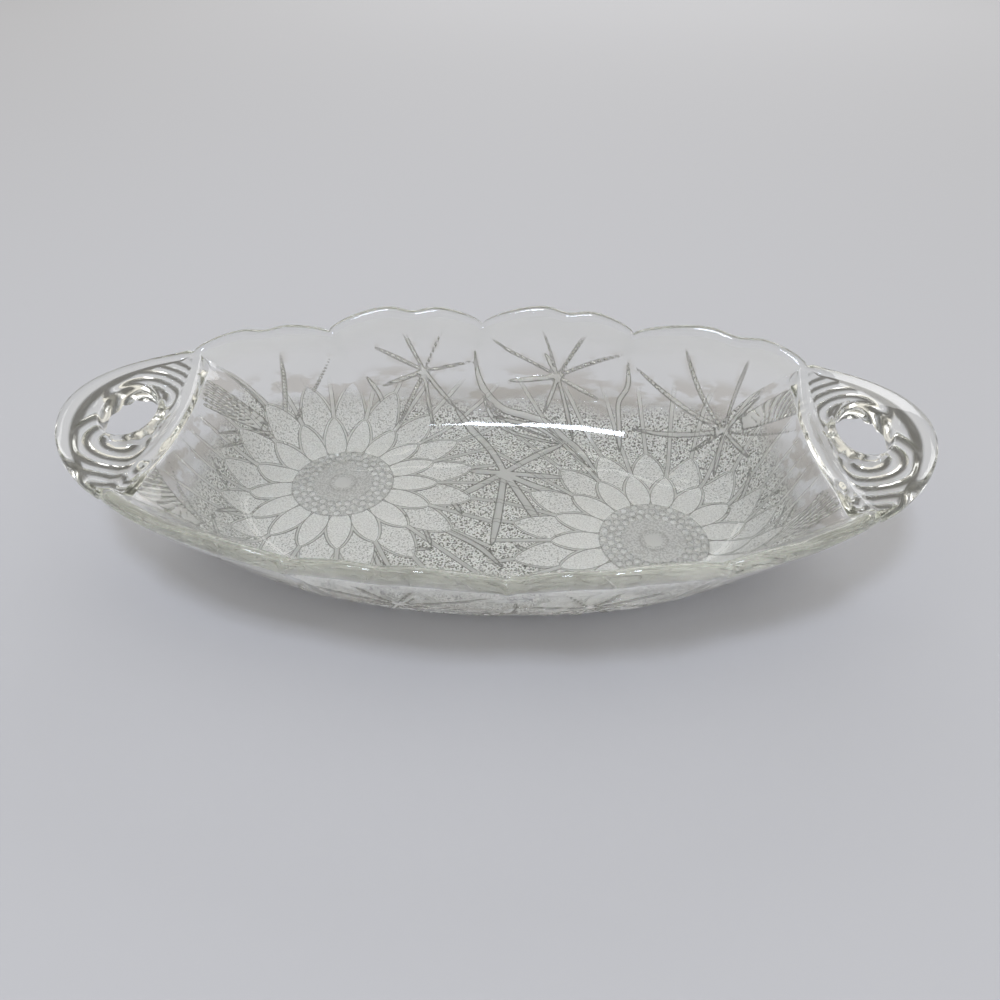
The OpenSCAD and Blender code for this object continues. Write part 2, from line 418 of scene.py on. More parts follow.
def makeGlass():
    shell = Shell()
    rows = mesh["outerRows"] + 1
    innerRows = mesh["innerRows"] + 1

    sideA, side = sideColumns()
    sidePlan, sideLeft = outerFacts(sideA, side)

    n = mesh["endColumns"]
    t = np.linspace(-1, 1, n + 1)[1:-1]
    h = handleSizes(t)
    end = grown(h["a"], h["p"], h["inHeight"], (t * t, 1 - h["full"]), endLip)
    endPlan, endLeft = outerFacts(h["a"], end)

    # the finger hole, as columns that part and come together again
    span = mesh["holeSpan"]
    inHole = np.abs(t) <= span + 1e-9
    theta = np.clip(t / span, -1, 1) * math.pi / 2
    centre = np.array([lipMid + tray["holeWeb"] + tray["holeWidth"] / 2, 0])
    halfX, halfY = tray["holeWidth"] / 2, tray["holeLength"] / 2
    holeEndS = halfY / (rootSpan / 2)
    tip = handleSizes(np.array([holeEndS]))
    holeEndW = (centre[0] - tip["p"][0, 0]) / (tip["q"][0, 0] - tip["p"][0, 0])

    def rim(grow, side):
        x = centre[0] + side * (halfX + grow) * np.cos(theta)
        y = (halfY + grow) * np.sin(theta)
        hole = flat(x, y)
        u = np.clip((np.abs(t) - span) / (1 - span), 0, 1)
        slit = handlePlan(np.sign(t) * mix(holeEndS, 1, u), mix(holeEndW, 0.5, u))
        # the slit starts at the hole's end and drifts to the middle of the handle's corner
        shift = np.array([[0, 1]]) * (np.sign(t) * grow * (1 - u))[:, None]
        return np.where(inHole[:, None], hole, slit + shift)

    wide = tray["holeRound"]
    near, far = rim(wide, -1), rim(wide, 1)
    cosines = np.array([1, 0.97, 0.88, 0.66, 0.25, -0.25, -0.66, -0.88, -0.97, -1])

    def strip(start, stop, count):
        share = np.linspace(0, 1, count + 1)[None, :, None]
        return mix(start[:, None], stop[:, None], share)

    def top(plan):
        return raised(plan, handleHeights(plan)[0])

    def under(plan):
        return raised(plan, handleHeights(plan)[1])

    wallPlan = end[:, rows - 1, :2]  # where the outer wall meets the handle's underside
    nearUnder = under(strip(wallPlan, near, mesh["nearRows"]))
    nearUnder[:, 0] = end[:, rows - 1]
    farUnder = under(strip(far, h["q"], mesh["farUnderRows"]))
    farTop = top(strip(h["q"], far, mesh["farTopRows"]))
    nearTop = top(strip(near, h["p"], mesh["nearRows"]))
    turn = np.linspace(0, math.pi, mesh["edgeSteps"] + 1)[1:-1]
    out = unit(h["q"] - h["p"])[:, None]
    edgePlan = h["q"][:, None] + out * (h["curl"][:, None] * np.sin(turn))[..., None]
    edgeZ = h["outHeight"][:, None] - h["edge"][:, None] / 2 * (1 + np.cos(turn))
    edge = raised(edgePlan, edgeZ)

    nearUnder = nearUnder[:, 1:]
    # where the handles' painted shade falls
    nearHandleShade = handleHeights(nearUnder[..., :2])[2]
    farHandleShade = handleHeights(farUnder[..., :2])[2]
    endLeft = endLeft + bands["endExtra"]

    ring = []
    for half in (0, 1):
        flip = -1 if half else 1
        ids = {
            "outer": shell.add(turned(end[:, :rows], half), endPlan * flip, endLeft),
            "nearUnder": shell.add(turned(nearUnder, half), handleShade=nearHandleShade),
            "farUnder": shell.add(turned(farUnder, half), handleShade=farHandleShade),
            "edge": shell.add(turned(edge, half)),
            "farTop": shell.add(turned(farTop, half)),
            "nearTop": shell.add(turned(nearTop, half)),
            "lip": shell.add(turned(end[:, rows:-innerRows], half)),
            "inner": shell.add(turned(end[:, -innerRows:], half)),
        }
        before = np.concatenate([ids["outer"], ids["nearUnder"]], axis=1)
        after = np.concatenate([ids["farUnder"], ids["edge"], ids["farTop"]], axis=1)
        last = np.concatenate([ids["nearTop"], ids["lip"], ids["inner"]], axis=1)
        for block in (before, after, last):
            shell.skin(block)
        # the wall of the hole, rounded into the top and the underside
        for way in (-1, 1):
            plans = [rim(wide * (1 - (1 - abs(c) ** 3) ** (1 / 3)), way)[inHole] for c in cosines]
            plans = np.stack(plans, axis=1)
            high, deep = handleHeights(plans)[:2]
            wallIds = shell.add(turned(raised(plans, mix(deep, high, (1 + cosines) / 2)), half))
            shell.skin(wallIds)
        for k in range(len(t)):
            ring.append({
                "outer": ids["outer"][k],
                "rim": np.concatenate([before[k, rows:], after[k, 1:], last[k, 1:-innerRows]]),
                "inner": ids["inner"][k],
                "kind": "end",
            })
        ids = shell.add(turned(side[:, :rows], half), sidePlan * flip, sideLeft)
        lips = shell.add(turned(side[:, rows:-innerRows], half))
        inner = shell.add(turned(side[:, -innerRows:], half))
        shell.skin(np.concatenate([ids, lips, inner], axis=1))
        for k in range(len(sideA)):
            ring.append({"outer": ids[k], "rim": lips[k], "inner": inner[k], "kind": "side"})

    # joins between the sides and the ends
    for k in range(len(ring)):
        one, two = ring[k], ring[(k + 1) % len(ring)]
        if one["kind"] != two["kind"]:
            shell.skin(np.stack([one["outer"], two["outer"]]))
            shell.skin(np.stack([one["inner"], two["inner"]]))
            chains = [[c["outer"][-1], *c["rim"], c["inner"][0]] for c in (one, two)]
            shell.zipUp(*chains)

    # the inside of the bottom
    inside = np.array([c["inner"][-1] for c in ring])
    closed = np.append(inside, inside[0])
    ringTwo = shell.add(shell.place(inside) * mesh["insideRing"])
    shell.skin(np.stack([closed, np.append(ringTwo, ringTwo[0])]))
    shell.faces.append(ringTwo.tolist())

    # the underside of the bottom, a square grid rounded to the oval
    along = np.linspace(-1, 1, mesh["bottomAlong"] + 1)[None]
    across = np.linspace(-1, 1, mesh["bottomAcross"] + 1)[:, None]
    x = flatX * mesh["bottomShare"] * along * np.sqrt(1 - across**2 / 2)
    y = flatY * mesh["bottomShare"] * across * np.sqrt(1 - along**2 / 2)
    points = raised(flat(x, y), np.zeros_like(x))
    ids = shell.add(points, left=np.full(x.size, bands["bottom"]))
    shell.skin(ids)
    border = np.concatenate([ids[:-1, -1], ids[-1, :0:-1], ids[:0:-1, 0], ids[0, :-1]])
    foot = np.array([c["outer"][0] for c in ring])
    start = shell.place(foot[:1])
    nearest = np.argmin(np.linalg.norm(shell.place(border) - start, axis=1))
    border = np.roll(border, -nearest)
    shell.zipUp(np.append(foot, foot[0]), np.append(border, border[0]))

    points = np.concatenate(shell.points)
    facts = np.concatenate(shell.facts)
    data = bpy.data.meshes.new("pressed_glass")
    data.from_pydata((points * mm).tolist(), [], shell.faces)
    planFact = data.attributes.new("plan", "FLOAT_VECTOR", "POINT")
    planFact.data.foreach_set("vector", np.column_stack([facts[:, :2], 0 * facts[:, 0]]).ravel())
    for column, name in ((2, "left"), (3, "handleShade")):
        fact = data.attributes.new(name, "FLOAT", "POINT")
        fact.data.foreach_set("value", facts[:, column])
    work = bmesh.new()
    work.from_mesh(data)
    bmesh.ops.remove_doubles(work, verts=work.verts, dist=0.0005 * mm)
    bmesh.ops.recalc_face_normals(work, faces=work.faces)
    openEdges = sum(1 for e in work.edges if not e.is_manifold)
    print("glass: open edges", openEdges, "volume ml", round(work.calc_volume() * 1e6, 2))
    work.to_mesh(data)
    work.free()
    data.shade_smooth()
    glass = bpy.data.objects.new("pressed_tray", data)
    bpy.context.scene.collection.objects.link(glass)
    tris = sum(len(p.vertices) - 2 for p in data.polygons)
    print("glass: triangles", tris)
    return glass


class Wire:
    # One value in a node tree. Sums on wires add the Math nodes, make() adds any other node.
    def __init__(self, tree, socket=None):
        self.tree = tree
        self.socket = socket

    def make(self, kind, settings, values, out=0):
        node = self.tree.nodes.new(kind)
        for name, value in settings.items():
            setattr(node, name, value)
        for key, value in values.items():
            if isinstance(value, Wire):
                self.tree.links.new(value.socket, node.inputs[key])
            else:
                node.inputs[key].default_value = value
        return Wire(self.tree, node.outputs[out] if len(node.outputs) else None)

    def other(self, name):
        return Wire(self.tree, self.socket.node.outputs[name])

    def sum(self, operation, *values):
        return self.make("ShaderNodeMath", {"operation": operation}, dict(enumerate(values)))

    def __add__(self, other):
        return self.sum("ADD", self, other)

    def __sub__(self, other):
        return self.sum("SUBTRACT", self, other)

    def __mul__(self, other):
        return self.sum("MULTIPLY", self, other)

    def __truediv__(self, other):
        return self.sum("DIVIDE", self, other)

    def __pow__(self, other):
        return self.sum("POWER", self, other)

    def __rsub__(self, other):
        return self.sum("SUBTRACT", other, self)

    def __rtruediv__(self, other):
        return self.sum("DIVIDE", other, self)

    __radd__ = __add__
    __rmul__ = __mul__

    def most(self, other):
        return self.sum("MAXIMUM", self, other)

    def least(self, other):
        return self.sum("MINIMUM", self, other)

    def size(self):
        return self.sum("ABSOLUTE", self)

    def clamped(self):
        return self.most(0).least(1)

    def smooth(self, low, high):
        sockets = {"Value": self, "From Min": low, "From Max": high}
        return self.make("ShaderNodeMapRange", {"interpolation_type": "SMOOTHSTEP"}, sockets)

    def blend(self, other, share):
        return self + (other - self) * share


# Lines pressed into the glass, on the tray's development: plan directions, with the wall laid
# out flat round the bottom. A half turn of the tray repeats all but the middle ones.
# Rays are angle, length, how far the tip bends to the left, and width.
cutLines = {
    "wallSlim": 0.72,
    "middleStar": [
        ((3.7, 22.2), [
            (107, 43, 11.5, 3.6),
            (47, 31.4, -3.9, 3.6),
            (-4.6, 24, 0, 3.2),
            (-35, 30.5, 4, 3.6),
            (-62, 35.5, -1.5, 3.6),
            (-92, 41.3, -1.5, 3.4),
            (-139, 22.5, 0, 3.6),
            (176.6, 14, 0, 3.6),
        ]),
    ],
    "stars": [
        ((94, 40.3), [
            (139, 45, -4, 2.8),
            (118, 40.5, -8, 2.4),
            (72, 37, 2, 1.8),
            (40, 19.6, 0, 3.4),
            (174, 38.7, -5, 3.2),
            (-162, 15.7, 0, 2.2),
            (-113.6, 20, 0, 2.8),
            (-62.5, 18.4, 0, 2.8),
            (-29, 37.7, 0, 1.4),
        ]),
        ((-88, 35.5), [
            (135, 33, 2, 2.8),
            (98.5, 37.4, 0, 2.8),
            (67, 39, 3, 2.0),
            (-61, 12.5, 0, 2.8),
            (188, 28, 10, 2.2),
            (205, 30, 8, 2.2),
            (165, 24, -3, 1.8),
        ]),
        ((-36.5, 72.8), [
            (138.6, 26, 0, 2.0),
            (166.4, 24.2, 0, 2.0),
            (85.5, 19.3, 0, 1.6),
            (16.8, 21.4, 0, 2.0),
            (-153, 18.5, 0, 2.8),
            (-103.6, 23.5, 0, 2.8),
            (-37.8, 21, 0, 2.8),
            (-67.4, 24.7, 0, 2.6),
        ]),
        ((29, 72.5), [
            (145, 42, 8, 2.0),
            (91, 22.5, 0, 1.6),
            (107.5, 10, 0, 3.2),
            (43, 28.7, -3, 2.0),
            (16, 30.3, -3, 2.0),
            (181, 24, 0, 3.2),
            (-121.8, 17, 0, 2.8),
            (-84.8, 27.6, 0, 2.8),
            (-33.3, 19, 0, 2.6),
        ]),
    ],
    # width, then the points it passes
    "middleStems": [
        (2.2, [(-32, -4), (-22, -8), (-12.5, -13.5), (-3, -20), (5, -29)]),
        (1.4, [(-28, -6.5), (-24, -11), (-20.5, -19.5)]),
        (1.6, [(-38, -19), (-31, -22), (-20, -21)]),
        (1.8, [(-21, 11.5), (-15, 4), (-11, -2.5)]),
        (1.6, [(19, -8.5), (25, -13), (31, -16)]),
        (1.6, [(9, -18), (14, -21), (22, -23.5)]),
    ],
    "stems": [
        (3.2, [
            (-15.5, 83), (-11, 73), (-5, 65.5), (3, 60), (13, 57),
            (21, 54), (27, 47.5), (33, 39), (41, 22),
        ]),
        (1.8, [(-2, 57), (8, 54.5), (17, 52), (24, 46), (31, 36.5), (36, 29)]),
        (1.8, [(-8, 66), (-3, 57), (5, 50), (14, 46), (27, 41.5)]),
        (1.0, [(-4, 61), (4, 55), (13, 50.5), (22, 46)]),
        (2.0, [(60, 75), (58, 66), (53, 60), (51.5, 50), (50, 38)]),
        (1.8, [(-60, 67), (-53, 61), (-49, 55), (-44, 50)]),
        (1.8, [(102, 20), (100, 15), (95, 8), (85, 2), (72, -4.5)]),
        (1.4, [(92, 3), (99, 2.5), (107, -1), (114, -7)]),
    ],
    # centre, first and last angle, how many, and how far out they run
    "fans": [
        ((94, 40.3), 22, -12, 8, 8, 34),
        ((-88, 35.5), 160, 186, 6, 10, 34),
    ],
    "ribWidth": 1.5,
    "taper": 3.2,
    "rootWidth": 0.75,
    "stemSwell": 5,
    "stemEnd": 0.25,
    "step": 0.8,
}


def smoothPath(points, step):
    # a curve through the points, in even steps
    p = np.array(points, float)
    p = np.array([2 * p[0] - p[1], *p, 2 * p[-1] - p[-2]])
    out = []
    for a, b, c, d in zip(p, p[1:], p[2:], p[3:]):
        n = max(2, int(np.linalg.norm(c - b) / step))
        t = (np.arange(n) / n)[:, None]
        cubic = (3 * b - 3 * c + d - a) * t**3 + (2 * a - 5 * b + 4 * c - d) * t**2 + (c - a) * t
        out.append(b + cubic / 2)
    return np.concatenate([*out, p[-2:-1]])


def starLines(stars, slim=1):
    lines = []
    for centre, rays in stars:
        for angle, length, bend, width in rays:
            way = np.array([math.cos(math.radians(angle)), math.sin(math.radians(angle))])
            t = np.linspace(0, 1, int(length / cutLines["step"]))[:, None]
            left = np.array([-way[1], way[0]])
            path = np.array(centre) + way * length * t + left * bend * t * t
            taper = np.minimum(1, cutLines["taper"] * slim * (1 - t[:, 0])) ** 0.5
            taper = taper * mix(cutLines["rootWidth"], 1, t[:, 0])
            lines.append((path, width / 2 * slim * taper))
    return lines


def stemLines(stems):
    lines = []
    for width, points in stems:
        path = smoothPath(points, cutLines["step"])
        t = np.linspace(0, 1, len(path))
        swell = cutLines["stemSwell"] * t * (1 - t) + cutLines["stemEnd"]
        lines.append((path, width / 2 * np.minimum(1, swell)))
    return lines


def fanLines(fans):
    lines = []
    for centre, first, last, count, near, far in fans:
        for angle in np.radians(np.linspace(first, last, count)):
            way = np.array([math.cos(angle), math.sin(angle)])
            t = np.linspace(0, 1, int((far - near) / cutLines["step"]))[:, None]
            path = np.array(centre) + way * mix(near, far, t)
            lines.append((path, np.full(len(path), cutLines["ribWidth"] / 2)))
    return lines


def drawLines():
    # every cut line as a chain of points, each with its half width
    once = starLines(cutLines["middleStar"]) + stemLines(cutLines["middleStems"])
    twice = starLines(cutLines["stars"], cutLines["wallSlim"])
    twice += stemLines(cutLines["stems"]) + fanLines(cutLines["fans"])
    chains = once + twice + [(-path, half) for path, half in twice]
    edges = []
    count = 0
    for path, half in chains:
        edges += [(count + k, count + k + 1) for k in range(len(path) - 1)]
        count += len(path)
    points = np.concatenate([path for path, half in chains])
    data = bpy.data.meshes.new("cut_lines")
    data.from_pydata(np.column_stack([points, 0 * points[:, 0]]).tolist(), edges, [])
    fact = data.attributes.new("half", "FLOAT", "POINT")
    fact.data.foreach_set("value", np.concatenate([half for path, half in chains]))
    lines = bpy.data.objects.new("cut_lines", data)
    bpy.context.scene.collection.objects.link(lines)
    return lines


# The pressed pattern's sizes in millimetres, and how many petals and beads it has
pattern = {
    "Ground Depth": 0.55,
    "Ground Grain": 0.16,
    "Cut Depth": 1.2,
    "Petals": 17.0,
    "Petal Crown": 0.3,
    "Outline Width": 0.8,
    "Outline Depth": 0.4,
    "Beads": 25.0,
    "Bead Radius": 1.3,
    "Bead Drop": 1.15,
}
# How its parts are shaped: lengths in millimetres, the rest as shares of a depth or a width
press = {
    "grainScale": 0.9,
    "bossEdge": (0.0, 0.4),
    "betweenBeads": 0.9,
    "disc": 0.5,
    "moatDepth": 0.6,
    "fullHalf": 1.6,
    "bankStart": 0.85,
    "bankWide": 0.35,
}
# How far below the rim each part begins, or ends, from nothing to its full strength. The bottom
# counts as far below, and the end walls as deeper than they are, so that the pattern reaches them.
bands = {
    "bottom": 99,
    "endExtra": 20,
    "lines": (5.0, 9.0),
    "pressing": (20.0, 34.0),
    "ground": (29.0, 42.0),
    "satin": (26.0, 44.0),
    "reflectedShade": (17.0, 23.0),
    "reflectedShadeEnd": (34.0, 42.0),
    "rim": (0.0, 0.5),
    "rimEnd": (2.0, 13.0),
}
# Two rings of petals round a middle with rows of beads
flower = {
    "centre": (-58.3, 13.6),
    "innerPetals": {"from": 16.5, "to": 36.5, "half": 4.6, "turn": -82.3, "crown": 4},
    "outerPetals": {"from": 22.0, "to": 50.5, "half": 6.6, "turn": -71.7, "crown": 6},
    "petalSwell": 0.85,
    "petalRound": 0.72,
    "beadRows": [12.7, 15.3, 17.9],
    "boss": 3.7,
    "moat": 5.0,
    "moatWidth": 0.9,
    "disc": (9.6, 11.0),
    "middle": (19.0, 19.8),
    "petalEdge": 0.5,
    "outlineShift": 0.4,
    "margin": (-1.6, -0.9),
}


def flowerArt(x, y, sizes):
    # the flowers at a place on the development: the left one, and the right one by a half turn
    turn = x.sum("LESS_THAN", x, 0) * 2 - 1
    dx = x * turn - flower["centre"][0]
    dy = y * turn - flower["centre"][1]
    reach = (dx * dx + dy * dy) ** 0.5
    angle = dx.sum("ARCTAN2", dy, dx)

    def folded(value, count):
        pitch = 2 * math.pi / count
        return value.sum("WRAP", value, pitch * 0.5, pitch * -0.5)

    def petalRing(ring):
        fold = folded(angle - math.radians(ring["turn"]), sizes["Petals"])
        aside = (reach * fold.sum("SINE", fold)).size()
        along = ((reach - ring["from"]) / (ring["to"] - ring["from"])).clamped()
        along = along ** flower["petalSwell"]
        return (along * (1 - along) * 4) ** flower["petalRound"] * ring["half"] - aside

    inner = petalRing(flower["innerPetals"])
    outer = petalRing(flower["outerPetals"])
    width = sizes["Outline Width"]

    def outline(inside):
        return (1 - (inside + width * flower["outlineShift"]).size() / width).clamped()

    edge = flower["petalEdge"]
    middle = 1 - reach.smooth(*flower["middle"])
    onInner = inner.smooth(0.0, edge) * (1 - middle)
    overInner = inner.smooth(width * flower["margin"][0], width * flower["margin"][1])
    onOuter = outer.smooth(0.0, edge) * (1 - overInner) * (1 - middle)
    lines = (outline(outer) * (1 - overInner)).most(outline(inner)) * (1 - middle)

    # the middle: beads in rows, a boss in a ring
    dome = reach * 0
    for row, radius in enumerate(flower["beadRows"]):
        pitch = 2 * math.pi / sizes["Beads"]
        fold = folded(angle + pitch * (0.5 * row), sizes["Beads"]) * radius
        off = reach - radius
        size = sizes["Bead Radius"]
        dome = dome.most((1 - (fold * fold + off * off) / (size * size)).most(0) ** 0.5)
    boss = (1 - (reach / flower["boss"]) ** 2).most(0) ** 0.5
    moat = (1 - (reach - flower["moat"]).size() / flower["moatWidth"]).clamped()
    return {
        "inner": inner,
        "outer": outer,
        "middle": middle,
        "onInner": onInner,
        "onOuter": onOuter,
        "petals": onInner.most(onOuter),
        "lines": lines,
        "beads": dome,
        "boss": boss,
        "moat": moat,
        "disc": 1 - reach.smooth(*flower["disc"]),
    }


def pressTree():
    tree = bpy.data.node_groups.new("press_pattern", "GeometryNodeTree")
    face = tree.interface
    face.new_socket("Geometry", in_out="INPUT", socket_type="NodeSocketGeometry")
    face.new_socket("Geometry", in_out="OUTPUT", socket_type="NodeSocketGeometry")
    face.new_socket("Cut Lines", in_out="INPUT", socket_type="NodeSocketObject")
    for name, value in pattern.items():
        face.new_socket(name, in_out="INPUT", socket_type="NodeSocketFloat").default_value = value
    face.new_socket("Glass", in_out="INPUT", socket_type="NodeSocketMaterial")
    bench = Wire(tree)
    given = bench.make("NodeGroupInput", {}, {})
    sizes = {name: given.other(name) for name in pattern}

    def named(name, kind="FLOAT"):
        return bench.make("GeometryNodeInputNamedAttribute", {"data_type": kind}, {"Name": name})

    plan = named("plan", "FLOAT_VECTOR")
    left = named("left")
    lineStrength = left.smooth(*bands["lines"])
    groundStrength = left.smooth(*bands["pressing"])

    # cut lines: how far the nearest one is, and how wide it is there
    drawn = bench.make("GeometryNodeObjectInfo", {}, {"Object": given.other("Cut Lines")},
                       "Geometry")
    nearest = bench.make("GeometryNodeProximity", {"target_element": "EDGES"},
                         {0: drawn, "Sample Position": plan})
    away = nearest.other("Distance")
    index = bench.make("GeometryNodeSampleNearest", {"domain": "POINT"},
                       {"Geometry": drawn, "Sample Position": nearest})
    half = bench.make("GeometryNodeSampleIndex", {"data_type": "FLOAT", "domain": "POINT"},
                      {"Geometry": drawn, "Value": named("half"), "Index": index})

    x = bench.make("ShaderNodeSeparateXYZ", {}, {0: plan})
    art = flowerArt(x, x.other("Y"), sizes)
    grain = bench.make("ShaderNodeTexNoise", {},
                       {"Vector": plan, "Scale": press["grainScale"], "Detail": 0.0})
    depth = sizes["Ground Depth"] + (grain - 0.5) * 2 * sizes["Ground Grain"]
    depth = depth * (1 - art["petals"])
    crown = sizes["Petal Crown"]
    outerCrown = 1 - art["outer"].smooth(0, flower["outerPetals"]["crown"])
    innerCrown = 1 - art["inner"].smooth(0, flower["innerPetals"]["crown"])
    depth = depth + crown * outerCrown * art["onOuter"]
    depth = depth + crown * innerCrown * art["onInner"]
    depth = depth.most(art["lines"] * sizes["Outline Depth"])
    low = sizes["Bead Drop"]
    bossEdge = art["boss"].smooth(*press["bossEdge"])
    centre = low * (1 - art["beads"].most(art["boss"])) * press["betweenBeads"]
    disc = press["disc"] * low + art["moat"] * press["moatDepth"]
    centre = centre.blend(disc, art["disc"] * (1 - bossEdge))
    depth = depth.blend(centre, art["middle"]) * groundStrength
    lineStrength = lineStrength * (1 - art["middle"]) * (1 - art["petals"])
    line = (1 - away / half).clamped() * sizes["Cut Depth"]
    line = line * (half / press["fullHalf"]).least(1) * lineStrength
    beside = away.smooth(half * press["bankStart"], half + press["bankWide"])
    beside = beside.blend(1, 1 - lineStrength)
    depth = (depth * beside).most(line)

    normal = bench.make("GeometryNodeInputNormal", {}, {})
    offset = bench.make("ShaderNodeVectorMath", {"operation": "SCALE"},
                        {0: normal, "Scale": depth * -mm})
    body = given.other("Geometry")
    for name, value in (("away", away), ("half", half)):
        kind = {"data_type": "FLOAT", "domain": "POINT"}
        body = bench.make("GeometryNodeStoreNamedAttribute", kind,
                          {"Geometry": body, "Name": name, "Value": value})
    body = bench.make("GeometryNodeSetPosition", {}, {"Geometry": body, "Offset": offset})
    body = bench.make("GeometryNodeRealizeInstances", {}, {"Geometry": body})
    body = bench.make("GeometryNodeSetMaterial", {},
                      {"Geometry": body, "Material": given.other("Glass")})
    bench.make("NodeGroupOutput", {"is_active_output": True}, {"Geometry": body})
    return tree


def pressed(glass, material):
    tree = pressTree()
    lines = drawLines()
    modifier = glass.modifiers.new("press", "NODES")
    modifier.node_group = tree
    for item in tree.interface.items_tree:
        if item.in_out == "INPUT" and item.name in pattern:
            modifier[item.identifier] = pattern[item.name]
        if item.in_out == "INPUT" and item.name == "Cut Lines":
            modifier[item.identifier] = lines
        if item.in_out == "INPUT" and item.name == "Glass":
            modifier[item.identifier] = material
    graph = bpy.context.evaluated_depsgraph_get()
    shaped = bpy.data.meshes.new_from_object(
        glass.evaluated_get(graph), preserve_all_data_layers=True, depsgraph=graph)
    glass.modifiers.clear()
    glass.data = shaped
    bpy.data.objects.remove(lines)
    print("glass: pressed, attributes", [a.name for a in shaped.attributes])


print("making the glass")
glass = makeGlass()

# The finish of the glass, with lengths in millimetres; the tints and the dark share named for
# shade are painted shade, and the brown patches painted reflection. A pair says where a value
# begins to count and where it counts in full.
finish = {
    "tint": (0.992, 0.995, 0.99, 1),
    "deepTint": (0.6, 0.68, 0.35, 1),
    "deepTintPerMetre": 3.6,
    "ior": 1.5,
    "grain": 0.72,
    "darkNoise": (0.46, 0.38),
    "lightNoise": (0.46, 0.56),
    "grainHeight": 0.8,
    "fineGrain": 0.5,
    "fineHeight": 0.14,
    "wave": 13,
    "waveHeight": 0.22,
    "outlineHeight": 0.4,
    "beadHeight": 0.9,
    "cutHeight": 0.55,
    "satinRough": 0.2,
    "groundRough": 0.08,
    "plainRough": 0.012,
    # painted shade in the cut lines and petal outlines, darker still along their edges
    "cutShadeTint": (0.92, 0.9, 0.87, 1),
    "edgeShadeTint": (0.5, 0.48, 0.44, 1),
    "cutFade": 0.45,
    "edgeWidth": 0.35,
    "shade": 5,
    "shadeNoise": (0.5, 0.62),
    "shadeWidth": 2.6,
    "shadeTint": (0.8, 0.77, 0.72, 1),
    # painted shade on dark specks of the stipple
    "grainShadeTint": (0.3, 0.3, 0.3, 1),
    # painted shade in the handle's rib valleys and in the band by its edge
    "valleyShadeTint": (0.42, 0.4, 0.36, 1),
    # painted shade round the beads and in the moat round the boss
    "beadShadeTint": (0.5, 0.49, 0.46, 1),
    # painted brown patches along the wall, standing for the reflected dim room and the refracted
    # shadow
    "patch": 9,
    "patchSqueeze": (0.35, 1, 1.6),
    "patchNoise": (0.46, 0.54),
    "reflectedShadeTint": (0.66, 0.61, 0.55, 1),
    "frost": (0.975, 0.985, 0.995, 1),
    "groundFrost": 0.72,
    "grainFrost": 1.0,
    "innerGrain": 0.1,
    "outerGrain": 0.36,
    "satinFrost": 1.0,
    "satinSpeckle": 0.18,
    "wallSatin": 0.55,
    "middleGround": 0.2,
    "middleFrost": 0.66,
    "middleSpeckle": 0.26,
    "edgeClear": 0.85,
    "beadFrost": 0.95,
    "beadShine": 0.35,
    "lineFrost": 0.62,
    "sparkle": 0.42,
    "sparkleRough": 0.34,
    "rimFrost": 0.25,
    # painted shade: a dark diffuse share for the light that steep facets, rib valleys and dark
    # specks lose
    "facetShade": (0.1, 0.1, 0.09, 1),
    "edgeShade": 0.34,
    "valleyShade": 0.72,
    "grainShade": 0.5,
    "beadEdgeShade": 1.4,
    "shadeFade": (0, 2.5),
    "outlineSpan": (0.15, 0.7),
    "outlineEdge": 0.3,
    "outlineEdgeShare": 0.7,
    "beadEdge": 0.2,
    "beadEdgeWidth": 0.25,
    "beadSpan": (0.35, 0.6),
    "bossSpan": (0.2, 0.6),
    "middleNoise": (0.45, 0.55),
    "satinNoise": (0.42, 0.58),
    "valleyShadeTintSpan": (0.15, 0.8),
    "valleyShadeSpan": (0.12, 0.7),
}


